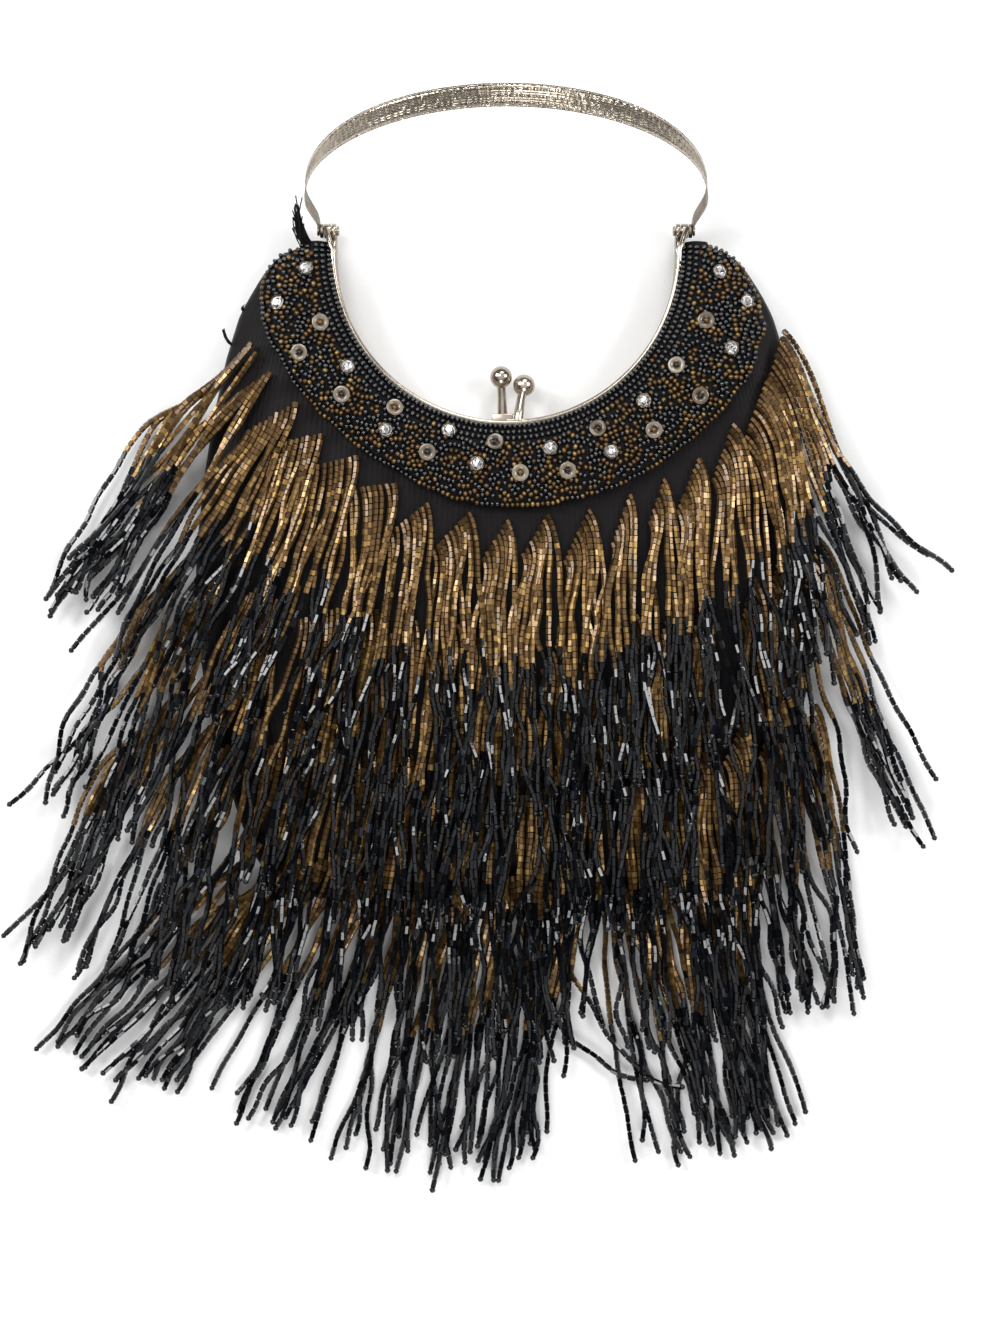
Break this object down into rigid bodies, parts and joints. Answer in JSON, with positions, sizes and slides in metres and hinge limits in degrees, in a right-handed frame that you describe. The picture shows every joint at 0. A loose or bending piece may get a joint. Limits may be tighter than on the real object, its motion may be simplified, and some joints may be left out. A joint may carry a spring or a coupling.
{
  "type": "beaded flapper purse",
  "caption": "Pouch purse lying on its back, with a U-shaped metal frame, ball clasp, arched handle, padded beaded yoke and tiers of bead fringe.",
  "frame": {"origin": "on the flat back of the bag, under its middle", "axes": "+Y towards the handle, +X to the right seen from the front, +Z out of the front"},
  "size_m": [0.3452, 0.3804, 0.0731],
  "materials": {
    "frame_metal": "polished warm nickel plate, lightly worn",
    "handle_metal": "embossed champagne nickel band with darkened hollows",
    "black_satin": "black satin",
    "yoke_beads": "rows of glossy black and bronze seed beads",
    "rhinestone": "clear faceted stone in a silver cup",
    "sequin": "clear champagne cup sequin",
    "fringe_beads": "bronze two-cut beads above, black bugle beads below"
  },
  "bodies": {
    "purse": {"frame_front": "frame_metal", "frame_back": "frame_metal", "hinge_pin_left": "frame_metal", "hinge_pin_right": "frame_metal", "bag_body": "black_satin", "yoke": "yoke_beads", "rhinestone_01": "rhinestone", "rhinestone_02": "rhinestone", "rhinestone_03": "rhinestone", "rhinestone_04": "rhinestone", "rhinestone_05": "rhinestone", "rhinestone_06": "rhinestone", "rhinestone_07": "rhinestone", "rhinestone_08": "rhinestone", "rhinestone_09": "rhinestone", "rhinestone_10": "rhinestone", "rhinestone_11": "rhinestone", "rhinestone_12": "rhinestone", "sequin_01": "sequin", "sequin_02": "sequin", "sequin_03": "sequin", "sequin_04": "sequin", "sequin_05": "sequin", "sequin_06": "sequin", "sequin_07": "sequin", "sequin_08": "sequin", "sequin_09": "sequin", "sequin_10": "sequin", "sequin_11": "sequin", "sequin_12": "sequin", "sequin_13": "sequin", "fringe_row_1": "fringe_beads", "fringe_row_2": "fringe_beads", "fringe_row_3": "fringe_beads", "fringe_row_4": "fringe_beads"},
    "handle": {"handle": "handle_metal"}
  },
  "joints": [
    {"name": "handle_swing", "type": "hinge", "parent": "purse", "child": "handle", "pos_m": [0, 0.141, 0.00915], "axis": [1, 0, 0], "range_deg": [-150, 37]}
  ]
}
